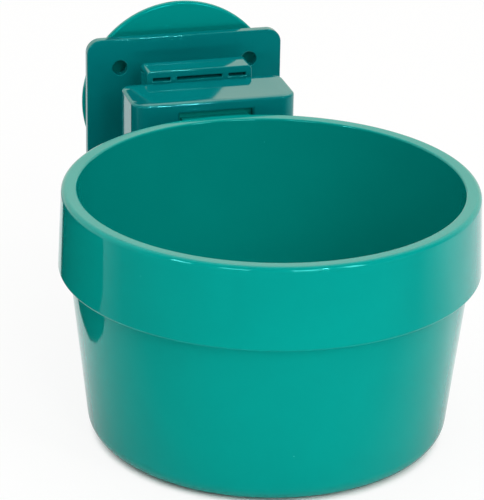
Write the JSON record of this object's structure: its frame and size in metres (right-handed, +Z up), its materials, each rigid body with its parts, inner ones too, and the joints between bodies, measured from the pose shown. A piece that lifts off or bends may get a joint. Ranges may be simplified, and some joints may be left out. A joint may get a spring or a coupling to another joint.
{
  "type": "pet crock bowl",
  "caption": "Round glossy plastic pet crock with a banded rim, on a lock housing that lifts off the rail of a clamp-on cage bracket.",
  "frame": {"origin": "middle of the crock's foot, on the surface that it stands on", "axes": "+Z up, +Y from the crock back to the cage bracket, +X to the right seen from the front"},
  "size_m": [0.1098, 0.1794, 0.0859],
  "materials": {
    "crock_plastic": "high gloss moulded, teal green",
    "bracket_plastic": "high gloss moulded, darker teal",
    "disc_plastic": "gloss moulded, teal",
    "zinc_steel": "bright zinc plating"
  },
  "bodies": {
    "bracket": {"mount_bracket": "bracket_plastic", "clamp_bolt": "zinc_steel"},
    "crock": {"crock_bowl": "crock_plastic", "lock_housing": "bracket_plastic"},
    "lever": {"lock_lever": "crock_plastic"},
    "clamp": {"clamp_disc": "disc_plastic", "flat_washer": "zinc_steel"},
    "nut": {"wing_nut": "zinc_steel"}
  },
  "joints": [
    {"name": "crock_lift", "type": "slide", "parent": "bracket", "child": "crock", "axis": [0, 0, 1], "range_m": [0, 0.072]},
    {"name": "lever_press", "type": "hinge", "parent": "crock", "child": "lever", "pos_m": [0, 0.0683, 0.052], "axis": [1, 0, 0], "range_deg": [0, 12], "stiffness_Nm_per_rad": 0.1, "springref_deg": -5.73},
    {"name": "clamp_slide", "type": "slide", "parent": "bracket", "child": "clamp", "axis": [0, 1, 0], "range_m": [-0.0028, 0.0101]},
    {"name": "nut_turn", "type": "hinge", "parent": "clamp", "child": "nut", "pos_m": [0, 0.1065, 0.0572], "axis": [0, 1, 0], "range_deg": [-810, 2880]}
  ],
  "couplings": [
    {"joint": "nut_turn", "follows": "clamp_slide", "rad_per_m": 4947.4}
  ]
}
